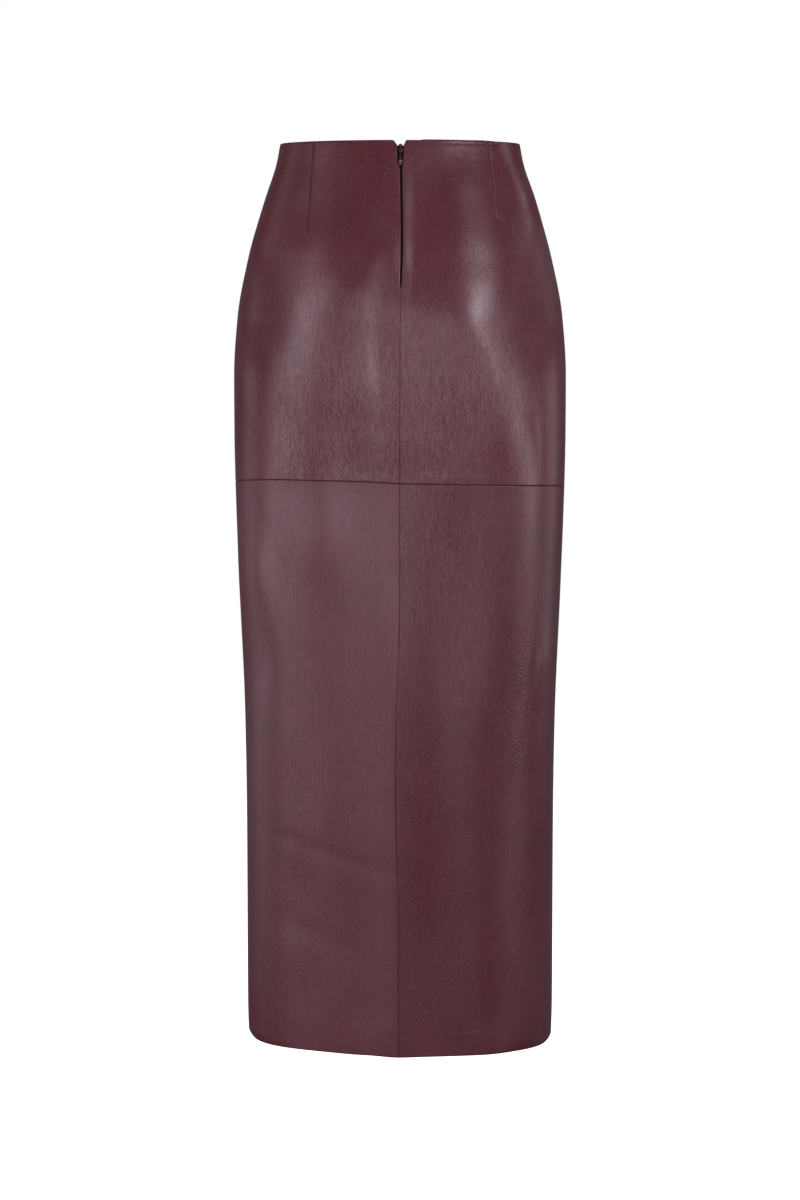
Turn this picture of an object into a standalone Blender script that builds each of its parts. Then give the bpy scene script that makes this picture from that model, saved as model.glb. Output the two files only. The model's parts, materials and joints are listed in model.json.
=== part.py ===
"""A high-waisted, ankle-length pencil skirt in leather, filled out as it is worn, closed by a zip at centre back.

Metres. +Z is up, -Y is the wearer's back, where the zip is, and +X is the wearer's right. The origin is the centre
of the waist opening, at the height of its edge. Angles round the skirt, called turns, start at centre back and
grow towards +X: a quarter turn is the right side seam, and half a turn is centre front.
"""

import math
from functools import partial

import bmesh
import bpy
from mathutils import Vector

# Leather: one layer, and a second where an edge is turned in and glued down.
WALL = 0.0012
TURNED_EDGE = 0.0012
SEAM_GAP = 0.0003
HEM_TURNING = 0.025
ZIP_TURNING = 0.012
TURNING_RAMP = 0.003

SIDES = ((-1, "left"), (1, "right"))

# Heights that part the pieces.
HIP_SEAM = -0.3535
HEM = -0.9400
ZIP_END = -0.1470

# The skirt's level sections. The two depths are measured from the side seams; a squareness of 2 is an ellipse.
SECTION_COLUMNS = ("height", "half_width", "back_depth", "front_depth", "back_squareness", "front_squareness")
SECTIONS = (
    (0.000, 0.1250, 0.0880, 0.0920, 2.00, 2.00),
    (-0.020, 0.1287, 0.0935, 0.0965, 2.03, 2.02),
    (-0.060, 0.1417, 0.1040, 0.1045, 2.08, 2.06),
    (-0.120, 0.1588, 0.1200, 0.1125, 2.16, 2.12),
    (-0.180, 0.1700, 0.1295, 0.1160, 2.20, 2.16),
    (-0.240, 0.1737, 0.1305, 0.1155, 2.34, 2.18),
    (-0.300, 0.1735, 0.1258, 0.1145, 2.46, 2.18),
    (-0.360, 0.1722, 0.1205, 0.1135, 2.54, 2.18),
    (-0.460, 0.1686, 0.1180, 0.1125, 2.44, 2.16),
    (-0.600, 0.1629, 0.1172, 0.1110, 2.24, 2.16),
    (-0.700, 0.1614, 0.1170, 0.1105, 2.16, 2.15),
    (-0.900, 0.1608, 0.1165, 0.1100, 2.15, 2.15),
    (-0.945, 0.1596, 0.1160, 0.1095, 2.15, 2.15),
)

# Centre back: where the edge line runs, and how far the two edges stand apart along the zip.
CENTRE_BACK_COLUMNS = ("height", "across", "opening")
CENTRE_BACK = (
    (0.000, 0.0005, 0.0067),
    (-0.006, 0.0005, 0.0067),
    (-0.012, 0.0002, 0.0058),
    (-0.024, 0.0002, 0.0056),
    (-0.029, 0.0011, 0.0021),
    (-0.100, 0.0019, 0.0019),
    (-0.138, 0.0009, 0.0014),
    (ZIP_END, 0.0004, SEAM_GAP),
    (-0.350, -0.0002, SEAM_GAP),
    (-0.470, -0.0002, SEAM_GAP),
    (-0.530, -0.0014, SEAM_GAP),
    (-0.580, -0.0037, SEAM_GAP),
    (-0.660, -0.0047, SEAM_GAP),
    (-0.730, -0.0032, SEAM_GAP),
    (-0.790, -0.0017, SEAM_GAP),
    (-0.945, -0.0016, SEAM_GAP),
)

# The corners cut off the waist edge on each side of the zip: how far out each one starts, and how deep it ends.
NOTCH_REACH = {-1: 0.0074, 1: 0.0069}
NOTCH_DEPTH = 0.0052

# The hip seam and the hem, all round.
EDGE_COLUMNS = ("turn_degrees", "hip_seam", "hem")
EDGES = (
    (-180.0, -0.3535, -0.9385),
    (-130.0, -0.3530, -0.9380),
    (-90.0, -0.3518, -0.9380),
    (-40.0, -0.3475, -0.9382),
    (-12.0, -0.3488, -0.9403),
    (0.0, -0.3508, -0.9428),
    (12.0, -0.3514, -0.9424),
    (40.0, -0.3534, -0.9420),
    (90.0, -0.3553, -0.9427),
    (130.0, -0.3540, -0.9402),
    (180.0, -0.3535, -0.9385),
)

# Darts: across at the waist and at the point, how far down they reach, and on which side of the body.
DART_COLUMNS = ("side", "waist_across", "point_across", "length")
BACK_DARTS = (
    (-1, 0.0885, 0.0945, 0.092),
    (1, 0.0905, 0.0978, 0.081),
)
FRONT_DARTS = (
    (-1, 0.0800, 0.0870, 0.078),
    (1, 0.0800, 0.0870, 0.078),
)
DART_DEPTH = 0.0007
DART_HALF_WIDTH = 0.0022
DART_COLUMN_REACH = 0.0035

# Full places and hollows. Each is a place seen straight on, how far it leans across for each metre up, how far out it
# fades across and up, and how far it rises. A hollow's rise is negative.
FULLNESS_COLUMNS = ("across", "height", "lean", "half_width", "half_height", "rise")
BACK_FULLNESS = (
    (-0.022, -0.115, 0.00, 0.022, 0.034, 0.0044),
    (-0.050, -0.148, 0.00, 0.036, 0.030, 0.0032),
    (0.026, -0.070, 0.00, 0.026, 0.062, -0.0040),
    (0.060, -0.015, 0.00, 0.018, 0.025, -0.0014),
    (0.127, -0.054, -0.36, 0.018, 0.052, 0.0056),
    (-0.148, -0.100, 0.28, 0.014, 0.040, 0.0028),
    (-0.125, -0.030, 0.30, 0.016, 0.034, 0.0020),
    (-0.104, -0.085, 0.25, 0.019, 0.048, -0.0024),
    (-0.138, -0.185, 0.00, 0.032, 0.042, -0.0046),
    (0.146, -0.170, 0.00, 0.030, 0.048, -0.0058),
    (0.068, -0.174, 0.00, 0.022, 0.028, 0.0024),
    (0.090, -0.215, -0.40, 0.026, 0.040, 0.0016),
    (0.104, -0.290, 0.00, 0.022, 0.042, 0.0028),
    (0.020, -0.245, 0.00, 0.030, 0.045, -0.0020),
    (0.052, -0.350, 0.00, 0.024, 0.036, 0.0018),
    (-0.040, -0.210, 0.00, 0.036, 0.030, 0.0014),
    (-0.054, -0.320, 0.00, 0.020, 0.060, -0.0018),
    (-0.080, -0.410, 0.00, 0.024, 0.042, 0.0026),
    (-0.115, -0.360, 0.00, 0.020, 0.028, -0.0014),
    (-0.150, -0.445, 0.00, 0.018, 0.040, 0.0040),
    (-0.148, -0.545, 0.00, 0.018, 0.036, -0.0024),
    (-0.126, -0.600, 0.00, 0.018, 0.120, 0.0008),
    (-0.003, -0.520, 0.00, 0.022, 0.105, 0.0042),
    (0.066, -0.480, 0.00, 0.036, 0.085, -0.0026),
    (0.148, -0.545, 0.00, 0.020, 0.045, 0.0012),
    (0.028, -0.820, 0.00, 0.034, 0.130, -0.0056),
    (0.090, -0.850, 0.00, 0.018, 0.090, 0.0006),
    (0.094, -0.945, 0.00, 0.022, 0.035, 0.0032),
    (0.128, -0.810, 0.00, 0.024, 0.080, -0.0008),
    (-0.065, -0.800, 0.00, 0.034, 0.070, -0.0018),
    (-0.045, -0.940, 0.00, 0.024, 0.036, 0.0018),
)
FRONT_FULLNESS = (
    (0.000, -0.130, 0.00, 0.060, 0.070, 0.0030),
    (-0.085, -0.255, -0.45, 0.024, 0.070, -0.0020),
    (0.080, -0.250, 0.45, 0.024, 0.070, -0.0020),
    (-0.076, -0.350, -0.10, 0.026, 0.090, 0.0022),
    (0.076, -0.340, 0.10, 0.026, 0.090, 0.0022),
    (0.066, -0.650, 0.80, 0.050, 0.040, -0.0018),
    (-0.064, -0.770, -0.80, 0.050, 0.040, -0.0018),
    (0.058, -0.810, 0.00, 0.028, 0.110, 0.0024),
    (-0.048, -0.590, 0.00, 0.028, 0.110, 0.0022),
    (0.004, -0.900, 0.00, 0.026, 0.090, -0.0020),
)
SIDE_FADE = 0.35

# How finely the panels are cut into faces, and how closely a turn is found for a place across.
TURN_HALVINGS = 26
ROW_STEP = 0.026
QUARTER_COLUMNS = 12
CENTRE_TO_DART_COLUMNS = 5
DART_TO_SIDE_COLUMNS = 5

# Rows that every piece at the waist shares, from the zip's top down to the facing's lower edge.
WAIST_ROWS = (-0.006, -0.012, -0.024, -0.029, -0.036)

# The facing inside the waist. It stops at the turned edges of the zip, and at the right it peeks over the edge.
FACING_THICKNESS = 0.0010
FACING_INSET = WALL + SEAM_GAP
FACING_END = ZIP_TURNING + TURNING_RAMP
FACING_TOP = {"left": -0.0004, "right": 0.0006, "front": -0.0004}

# The zip: two tapes behind the turned edges, and a slider with its pull.
TAPE_WIDTH = 0.0120
TAPE_THICKNESS = 0.0010
TAPE_INSET = WALL + TURNED_EDGE + SEAM_GAP
TAPE_END = -0.1680
TAPE_COLUMNS = 3

PULL_AXIS_HEIGHT = -0.0078
PULL_AXIS_ACROSS = 0.0005
PULL_AXIS_STANDOFF = 0.00085
PULL_LENGTH = 0.0190
PULL_THICKNESS = 0.0009
PULL_BAR = 0.0004
PULL_SLOT_HALF_WIDTH = 0.00075
PULL_SLOT_END = 0.0033
PULL_OUTLINE_COLUMNS = ("along", "half_width")
PULL_OUTLINE = (
    (-0.0004, 0.0013),
    (0.0000, 0.0016),
    (0.0030, 0.0016),
    (0.0050, 0.0010),
    (0.0095, 0.0012),
    (0.0140, 0.0016),
    (0.0165, 0.0015),
    (0.0182, 0.0009),
    (PULL_LENGTH, 0.0003),
)

SLIDER_DEPTH = TAPE_INSET - SEAM_GAP
SLIDER_OUTLINE_COLUMNS = ("along", "half_width")
SLIDER_OUTLINE = (
    (0.0039, 0.0010),
    (0.0030, 0.0017),
    (0.0018, 0.0028),
    (0.0006, 0.0029),
    (-0.0036, 0.0023),
    (-0.0042, 0.0016),
)
BRIDGE_HALF_WIDTH = 0.00045
BRIDGE_HALF_HEIGHT = 0.0024
BRIDGE_STANDOFF = 0.0023
BRIDGE_THICKNESS = 0.0007
SMALL_BEVEL = 0.00015


def curve_through(rows, column):
    """A smooth function through one column of a table, by its first column, that never swings past its rows."""
    knots = sorted((row[0], row[column]) for row in rows)
    slopes = [(b[1] - a[1]) / (b[0] - a[0]) for a, b in zip(knots, knots[1:])]
    tangents = [slopes[0]]
    for before, after in zip(slopes, slopes[1:]):
        tangents.append(2 * before * after / (before + after) if before * after > 0 else 0.0)
    tangents.append(slopes[-1])

    def value(at):
        at = min(max(at, knots[0][0]), knots[-1][0])
        i = next(k for k in range(len(slopes)) if at <= knots[k + 1][0])
        (x0, y0), (x1, y1) = knots[i], knots[i + 1]
        span = x1 - x0
        s = (at - x0) / span
        rise = s * s * (3 - 2 * s)
        enter = s * (1 - s) ** 2 * span * tangents[i]
        leave = s * s * (s - 1) * span * tangents[i + 1]
        return y0 + (y1 - y0) * rise + enter + leave

    return value


def columns_of(rows, names):
    """One smooth function for each named column of a table after its first."""
    return [curve_through(rows, names.index(name)) for name in names[1:]]


half_width, back_depth, front_depth, back_squareness, front_squareness = columns_of(SECTIONS, SECTION_COLUMNS)
centre_across, centre_opening = columns_of(CENTRE_BACK, CENTRE_BACK_COLUMNS)
hip_seam_by_degrees, hem_by_degrees = columns_of(EDGES, EDGE_COLUMNS)


def hip_seam(turn):
    return hip_seam_by_degrees(math.degrees(turn))


def hem(turn):
    return hem_by_degrees(math.degrees(turn))


def smooth_step(low, high, at):
    s = min(max((at - low) / (high - low), 0.0), 1.0)
    return s * s * (3 - 2 * s)


def section(turn, height):
    """A point of the plain level section, and the way out from it, both as across and along Y."""
    at_back = math.cos(turn) > 0
    wide = half_width(height)
    deep = (back_depth if at_back else front_depth)(height)
    square = (back_squareness if at_back else front_squareness)(height)
    s, c = math.sin(turn), -math.cos(turn)
    reach = (abs(s) ** square + abs(c) ** square) ** (-1 / square)
    x, y = wide * reach * s, deep * reach * c
    out_x = math.copysign(abs(x / wide) ** (square - 1) / wide, x)
    out_y = math.copysign(abs(y / deep) ** (square - 1) / deep, y)
    size = math.hypot(out_x, out_y)
    return x, y, out_x / size, out_y / size


def turn_at(across, height):
    """The turn on the back half where the plain section is that far across."""
    low, high = -math.pi / 2, math.pi / 2
    for _ in range(TURN_HALVINGS):
        middle = (low + high) / 2
        if section(middle, height)[0] < across:
            low = middle
        else:
            high = middle
    return (low + high) / 2


def distance_to_line(x, z, x0, z0, x1, z1):
    """How far a point, seen straight on, lies from the line between two others."""
    length = (x1 - x0) ** 2 + (z1 - z0) ** 2
    s = min(max(((x - x0) * (x1 - x0) + (z - z0) * (z1 - z0)) / length, 0.0), 1.0)
    return math.hypot(x - x0 - s * (x1 - x0), z - z0 - s * (z1 - z0))


def dart_line(dart, height):
    """How far across a dart's line is at a height. It runs on straight below the dart's point."""
    side, at_waist, at_point, length = dart
    return side * (at_waist + (at_point - at_waist) * -height / length)


def relief(turn, x, height):
    """How far the leather stands out from the plain section, fading to nothing at the side seams."""
    at_back = math.cos(turn) > 0
    rise = 0.0
    for across, middle, lean, wide, tall, full_rise in BACK_FULLNESS if at_back else FRONT_FULLNESS:
        up = height - middle
        rise += full_rise * math.exp(-((x - across - lean * up) / wide) ** 2 - (up / tall) ** 2)
    for dart in BACK_DARTS if at_back else FRONT_DARTS:
        d = distance_to_line(x, height, dart_line(dart, 0.0), 0.0, dart_line(dart, -dart[3]), -dart[3])
        rise -= DART_DEPTH * math.exp(-((d / DART_HALF_WIDTH) ** 2))
    return rise * smooth_step(0.0, SIDE_FADE, abs(math.cos(turn)))


def skirt_point(turn, height, inset=0.0):
    """A point of the skirt's outer surface, or so far inside it."""
    x, y, out_x, out_y = section(turn, height)
    out = relief(turn, x, height) - inset
    return Vector((x + out_x * out, y + out_y * out, height))


def thickness(turn, height):
    """The wall's thickness: two layers at the hem and along the zip, and one elsewhere."""
    x = section(turn, height)[0]
    hem_top = hem(turn) + HEM_TURNING
    at_hem = smooth_step(-hem_top - TURNING_RAMP, -hem_top, -height)
    along_zip = 0.0
    if math.cos(turn) > 0 and height > TAPE_END:
        along_zip = smooth_step(-ZIP_TURNING - TURNING_RAMP, -ZIP_TURNING, -abs(x - centre_across(height)))
    return WALL + TURNED_EDGE * max(at_hem, along_zip)


def centre_edge(side, height):
    """How far across a back panel's edge is at centre back."""
    return centre_across(height) + side * centre_opening(height) / 2


def spread(marks, counts):
    """The marks with evenly spaced values between each two: counts says how many steps each stretch has."""
    values = [marks[0]]
    for start, end, count in zip(marks, marks[1:], counts):
        values += [start + (end - start) * (i + 1) / count for i in range(count)]
    return values


def rows_between(marks):
    """Heights at the marks and between them, none much further apart than ROW_STEP."""
    counts = [max(1, round(abs(b - a) / ROW_STEP)) for a, b in zip(marks, marks[1:])]
    return spread(marks, counts)


def side_seam_turn(side, height, at_back):
    """A panel's edge at the side seam, half a seam gap short of the seam itself."""
    gap = SEAM_GAP / 2 / (back_depth if at_back else front_depth)(height)
    return side * (math.pi / 2 - gap) if at_back else side * (math.pi / 2 + gap)


def upper_back_turns(side, height):
    """The columns of an upper back panel, from centre back past the notch and the dart to the side seam."""
    dart = next(d for d in BACK_DARTS if d[0] == side)
    on_dart = dart_line(dart, height)
    centre = centre_across(height)
    across = [centre_edge(side, height), side * NOTCH_REACH[side]]
    across += [centre + side * ZIP_TURNING, centre + side * FACING_END]
    across += [on_dart + side * reach for reach in (-DART_COLUMN_REACH, 0.0, DART_COLUMN_REACH)]
    marks = [turn_at(x, height) for x in across] + [side_seam_turn(side, height, True)]
    return spread(marks, [1, 1, 1, CENTRE_TO_DART_COLUMNS, 1, 1, DART_TO_SIDE_COLUMNS])


def facing_back_turns(side, height):
    """The columns of a back facing: those of its panel that lie past the zip's turned edge."""
    return upper_back_turns(side, height)[3:]


def lower_back_turns(side, height):
    """The columns of a lower back panel, from centre back to the side seam."""
    marks = [turn_at(centre_edge(side, height), height), side_seam_turn(side, height, True)]
    return spread(marks, [QUARTER_COLUMNS])


def front_turns(with_darts, height):
    """The columns of a front panel, from the right side seam by centre front to the left one."""
    marks = [side_seam_turn(1, height, False)]
    counts = [QUARTER_COLUMNS]
    if with_darts:
        on_dart = dart_line(FRONT_DARTS[1], height)
        reaches = (DART_COLUMN_REACH, 0.0, -DART_COLUMN_REACH)
        marks += [math.pi - turn_at(on_dart + reach, height) for reach in reaches]
        counts = [DART_TO_SIDE_COLUMNS, 1, 1, CENTRE_TO_DART_COLUMNS]
    marks.append(math.pi)
    half = spread(marks, counts)
    return half + [2 * math.pi - turn for turn in reversed(half[:-1])]


def signed(turn):
    """The same turn, from minus half a turn to half a turn."""
    return turn - 2 * math.pi if turn > math.pi else turn


def leather(name, colour, roughness, metallic=0.0):
    """A plain Principled material."""
    material = bpy.data.materials.new(name)
    material.use_nodes = True
    shader = material.node_tree.nodes["Principled BSDF"]
    shader.inputs["Base Color"].default_value = (*colour, 1.0)
    shader.inputs["Roughness"].default_value = roughness
    shader.inputs["Metallic"].default_value = metallic
    return material


def object_of(name, bm, material):
    """A shaded object with its normals facing out, from a finished bmesh."""
    bmesh.ops.recalc_face_normals(bm, faces=bm.faces)
    mesh = bpy.data.meshes.new(name)
    bm.to_mesh(mesh)
    bm.free()
    mesh.materials.append(material)
    mesh.shade_smooth()
    mesh.set_sharp_from_angle(angle=math.radians(35))
    made = bpy.data.objects.new(name, mesh)
    bpy.context.collection.objects.link(made)
    return made


def wall(name, outer, inner, material):
    """A closed wall between two grids of points that match row for row."""
    bm = bmesh.new()
    sides = [[[bm.verts.new(p) for p in row] for row in grid] for grid in (outer, inner)]
    rows, columns = len(outer), len(outer[0])
    for grid in sides:
        for r in range(rows - 1):
            for c in range(columns - 1):
                bm.faces.new((grid[r][c], grid[r][c + 1], grid[r + 1][c + 1], grid[r + 1][c]))
    out, inn = sides
    for r in range(rows - 1):
        for c in (0, columns - 1):
            bm.faces.new((out[r][c], out[r + 1][c], inn[r + 1][c], inn[r][c]))
    for c in range(columns - 1):
        for r in (0, rows - 1):
            bm.faces.new((out[r][c], out[r][c + 1], inn[r][c + 1], inn[r][c]))
    return object_of(name, bm, material)


def panel(name, turns, top, bottom, marks, material):
    """A cut piece of leather: turns gives its columns at a height, top and bottom its edges, marks its main rows."""
    tops = [top(c, signed(turn)) for c, turn in enumerate(turns(marks[0]))]
    bottoms = [bottom(signed(turn)) for turn in turns(marks[-1])]
    shares = [(h - marks[0]) / (marks[-1] - marks[0]) for h in rows_between(marks)]
    outer, inner = [], []
    for share in shares:
        heights = [high + (low - high) * share for high, low in zip(tops, bottoms)]
        places = [(signed(turns(h)[c]), h) for c, h in enumerate(heights)]
        outer.append([skirt_point(turn, h) for turn, h in places])
        inner.append([skirt_point(turn, h, thickness(turn, h)) for turn, h in places])
    return wall(name, outer, inner, material)


def above_hip_seam(turn):
    return hip_seam(turn) + SEAM_GAP / 2


def below_hip_seam(column, turn):
    return hip_seam(turn) - SEAM_GAP / 2


def waist_edge(column, turn):
    return 0.0


def notched_waist_edge(column, turn):
    """The waist edge of a back panel, whose first column is at the zip, in the cut-off corner."""
    return -NOTCH_DEPTH if column == 0 else 0.0


def build_panels(material):
    """The two upper and two lower back panels, and the upper and lower front."""
    waist_marks = [0.0, *WAIST_ROWS]
    zip_marks = waist_marks + [ZIP_END, TAPE_END, HIP_SEAM]
    hem_marks = [HIP_SEAM, HEM + HEM_TURNING + TURNING_RAMP, HEM + HEM_TURNING, HEM]
    for side, word in SIDES:
        upper_turns = partial(upper_back_turns, side)
        lower_turns = partial(lower_back_turns, side)
        panel(f"back_upper_{word}", upper_turns, notched_waist_edge, above_hip_seam, zip_marks, material)
        panel(f"back_lower_{word}", lower_turns, below_hip_seam, hem, hem_marks, material)
    darted_turns = partial(front_turns, True)
    plain_turns = partial(front_turns, False)
    panel("front_upper", darted_turns, waist_edge, above_hip_seam, waist_marks + [HIP_SEAM], material)
    panel("front_lower", plain_turns, below_hip_seam, hem, hem_marks, material)


def build_facings(material):
    """The three pieces that face the waist inside, seamed where the panels are."""
    shapes = {word: partial(facing_back_turns, side) for side, word in SIDES}
    shapes["front"] = partial(front_turns, True)
    names = {"left": "facing_back_left", "right": "facing_back_right", "front": "facing_front"}
    for word, turns in shapes.items():
        grids = ([], [])
        for height in (FACING_TOP[word], *WAIST_ROWS):
            for grid, inset in zip(grids, (FACING_INSET, FACING_INSET + FACING_THICKNESS)):
                grid.append([skirt_point(signed(turn), height, inset) for turn in turns(height)])
        wall(names[word], *grids, material)


def build_tapes(material):
    """The two tapes of the zip, edge to edge behind the turned edges of the back panels."""
    for side, word in SIDES:
        grids = ([], [])
        for height in rows_between([*WAIST_ROWS, ZIP_END, TAPE_END]):
            inner_edge = centre_across(height) + side * SEAM_GAP / 2
            steps = [inner_edge + side * TAPE_WIDTH * c / (TAPE_COLUMNS - 1) for c in range(TAPE_COLUMNS)]
            for grid, inset in zip(grids, (TAPE_INSET, TAPE_INSET + TAPE_THICKNESS)):
                grid.append([skirt_point(turn_at(x, height), height, inset) for x in steps])
        wall(f"zip_tape_{word}", *grids, material)


def plate(name, outline, front, back, material):
    """A flat plate whose outline, in along and half width, is the same on both sides of its middle line."""
    bm = bmesh.new()
    ring = [(-w, z) for z, w in outline] + [(w, z) for z, w in reversed(outline)]
    face = bm.faces.new([bm.verts.new((x, front, z)) for x, z in ring])
    pushed = bmesh.ops.extrude_face_region(bm, geom=[face])["geom"]
    bmesh.ops.translate(bm, verts=[v for v in pushed if isinstance(v, bmesh.types.BMVert)], vec=(0, back - front, 0))
    return object_of(name, bm, material)


def helper(made):
    """Marks a tool object, which only cuts or joins another and isn't a piece."""
    made.hide_render = True
    made.display_type = "WIRE"


def block(name, low, high, material):
    """A block between two corners."""
    bm = bmesh.new()
    bmesh.ops.create_cube(bm, size=1.0)
    for v in bm.verts:
        v.co = Vector(h if c > 0 else l for c, l, h in zip(v.co, low, high))
    return object_of(name, bm, material)


def boolean(made, tool, operation):
    modifier = made.modifiers.new(operation.lower(), "BOOLEAN")
    modifier.operation = operation
    modifier.object = tool
    modifier.solver = "EXACT"
    helper(tool)


def bevel(made, width):
    modifier = made.modifiers.new("bevel", "BEVEL")
    modifier.width = width
    modifier.segments = 1
    modifier.limit_method = "ANGLE"


def zip_frame():
    """An empty on the pull's pivot, turned so that its own Z runs up the leather and its own -Y points out of it."""
    above, here, below = (skirt_point(0.0, PULL_AXIS_HEIGHT + step) for step in (0.005, 0.0, -0.005))
    lean = math.atan2(above.y - below.y, above.z - below.z)
    out = Vector((0.0, -math.cos(lean), math.sin(lean)))
    made = bpy.data.objects.new("zip_pull_pivot", None)
    made.location = Vector((PULL_AXIS_ACROSS, here.y, here.z)) + out * PULL_AXIS_STANDOFF
    made.rotation_euler = (-lean, 0.0, 0.0)
    bpy.context.collection.objects.link(made)
    return made


def build_slider(pivot, material):
    """The slider between the two edges, with the bridge that the pull hangs on."""
    face = PULL_AXIS_STANDOFF
    slider = plate("zip_slider", SLIDER_OUTLINE, face, face + SLIDER_DEPTH, material)
    out = face - BRIDGE_STANDOFF
    bridge = block(
        "bridge_tool",
        (-BRIDGE_HALF_WIDTH, out, -BRIDGE_HALF_HEIGHT),
        (BRIDGE_HALF_WIDTH, face + SLIDER_DEPTH / 2, BRIDGE_HALF_HEIGHT),
        material,
    )
    window = block(
        "bridge_window_tool",
        (-3 * BRIDGE_HALF_WIDTH, out + BRIDGE_THICKNESS, -BRIDGE_HALF_HEIGHT + BRIDGE_THICKNESS),
        (3 * BRIDGE_HALF_WIDTH, face, BRIDGE_HALF_HEIGHT - BRIDGE_THICKNESS),
        material,
    )
    boolean(bridge, window, "DIFFERENCE")
    bevel(slider, SMALL_BEVEL)
    boolean(slider, bridge, "UNION")
    for made in (slider, bridge, window):
        made.parent = pivot


def build_pull(pivot, material):
    """The pull: a drop-shaped tab whose slot rides on the slider's bridge, with its origin on the pivot."""
    pull = plate("zip_pull", [(-a, w) for a, w in PULL_OUTLINE], -PULL_THICKNESS / 2, PULL_THICKNESS / 2, material)
    slot = block(
        "pull_slot_tool",
        (-PULL_SLOT_HALF_WIDTH, -PULL_THICKNESS, -PULL_SLOT_END),
        (PULL_SLOT_HALF_WIDTH, PULL_THICKNESS, -PULL_BAR),
        material,
    )
    boolean(pull, slot, "DIFFERENCE")
    bevel(pull, SMALL_BEVEL)
    for made in (pull, slot):
        made.parent = pivot


for old in list(bpy.data.objects):
    bpy.data.objects.remove(old)

burgundy = leather("burgundy_nappa", (0.100, 0.030, 0.040), 0.40)
tape_cloth = leather("zip_tape_cloth", (0.012, 0.006, 0.008), 0.85)
black_enamel = leather("black_enamel", (0.010, 0.009, 0.010), 0.30, 0.6)
burgundy_enamel = leather("burgundy_enamel", (0.170, 0.070, 0.085), 0.25, 0.6)

build_panels(burgundy)
build_facings(burgundy)
build_tapes(tape_cloth)
pull_pivot = zip_frame()
build_slider(pull_pivot, black_enamel)
build_pull(pull_pivot, burgundy_enamel)
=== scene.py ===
import json
from math import atan2, ceil, cos, hypot, pi, radians, sin

import bmesh
import bpy
import numpy as np
from mathutils import Euler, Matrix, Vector


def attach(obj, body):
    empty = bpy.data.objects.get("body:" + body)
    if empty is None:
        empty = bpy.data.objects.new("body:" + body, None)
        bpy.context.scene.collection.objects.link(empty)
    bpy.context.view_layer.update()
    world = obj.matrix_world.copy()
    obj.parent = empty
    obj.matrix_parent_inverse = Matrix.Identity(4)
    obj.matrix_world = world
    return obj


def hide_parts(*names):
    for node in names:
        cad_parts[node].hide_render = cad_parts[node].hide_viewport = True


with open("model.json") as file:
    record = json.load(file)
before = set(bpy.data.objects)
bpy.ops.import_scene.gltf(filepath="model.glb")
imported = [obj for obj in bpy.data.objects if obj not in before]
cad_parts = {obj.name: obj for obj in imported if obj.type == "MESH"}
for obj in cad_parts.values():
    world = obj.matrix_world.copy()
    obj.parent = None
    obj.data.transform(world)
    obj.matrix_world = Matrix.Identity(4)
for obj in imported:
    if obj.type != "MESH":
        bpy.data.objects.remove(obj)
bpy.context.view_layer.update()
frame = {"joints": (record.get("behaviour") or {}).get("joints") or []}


# ----------
# The two upper back panels. Each is one piece of burgundy nappa, shaped by a dart from the waist, and
# pulled smooth over the hips. Their centre edges are turned in and glued along the zip, and below it they
# are seamed together.

NAPPA = 0.001
TURNED_NAPPA = 0.0024
ZIP_TURNING = 0.012
HEM_TURNING = 0.025
ALLOWANCE = 0.0098
ALLOWANCE_THICKNESS = 0.0007
ALLOWANCE_SHOWS = 0.00012
RAMP = 0.001

FACING_BOTTOM = -0.036
UNDER_FACING = 0.0005
HIP_SEAM = -0.3535
ZIP_END = -0.147


def metres(rows, plain=()):
    """A table's millimetres made metres, but for the columns that plain gives."""
    return [tuple(v if n in plain else v / 1000 for n, v in enumerate(row)) for row in rows]


# Level sections: height, half width, depth at back and front, and how square each of these two is.
SECTIONS = metres((
    (0, 125, 88, 92, 2, 2), (-20, 128.7, 93.5, 96.5, 2.03, 2.02), (-60, 141.7, 104, 104.5, 2.08, 2.06),
    (-120, 158.8, 120, 112.5, 2.16, 2.12), (-180, 170, 129.5, 116, 2.2, 2.16),
    (-240, 173.7, 130.5, 115.5, 2.34, 2.18), (-300, 173.5, 125.8, 114.5, 2.46, 2.18),
    (-360, 172.2, 120.5, 113.5, 2.54, 2.18), (-460, 168.6, 118, 112.5, 2.44, 2.16),
    (-600, 162.9, 117.2, 111, 2.24, 2.16), (-700, 161.4, 117, 110.5, 2.16, 2.15),
    (-900, 160.8, 116.5, 110, 2.15, 2.15), (-945, 159.6, 116, 109.5, 2.15, 2.15),
), plain=(4, 5))
# Centre back: height, how far across it runs, and how wide it stands open.
CENTRE_BACK = metres((
    (0, 0.5, 6.7), (-4, 0.4, 6.3), (-8, 0.2, 5.8), (-18, 0.2, 5.6), (-23.5, 1.1, 2.3), (-100, 1.9, 2.1),
    (-146, 0.8, 1.6), (-150, 0.4, 0), (-350, -0.2, 0), (-470, -0.2, 0), (-530, -1.4, 0), (-580, -3.7, 0),
    (-660, -4.7, 0), (-730, -3.2, 0), (-790, -1.7, 0), (-945, -1.6, 0),
))
# Degrees round from centre back, and the heights of the hip seam and the hem there.
EDGES = metres((
    (-180, -353.5, -938.5), (-130, -353, -938), (-90, -351.8, -938), (-40, -347.5, -938.2),
    (-12, -348.8, -940.3), (0, -350.8, -942.8), (12, -351.4, -942.4), (40, -353.4, -942),
    (90, -355.3, -942.7), (130, -354, -940.2), (180, -353.5, -938.5),
), plain=(0,))
NOTCH_REACH = {-1: 0.0074, 1: 0.0069}
NOTCH_DEPTH = 0.0052
NOTCH_FADE = (-0.15, 1.0)

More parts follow.
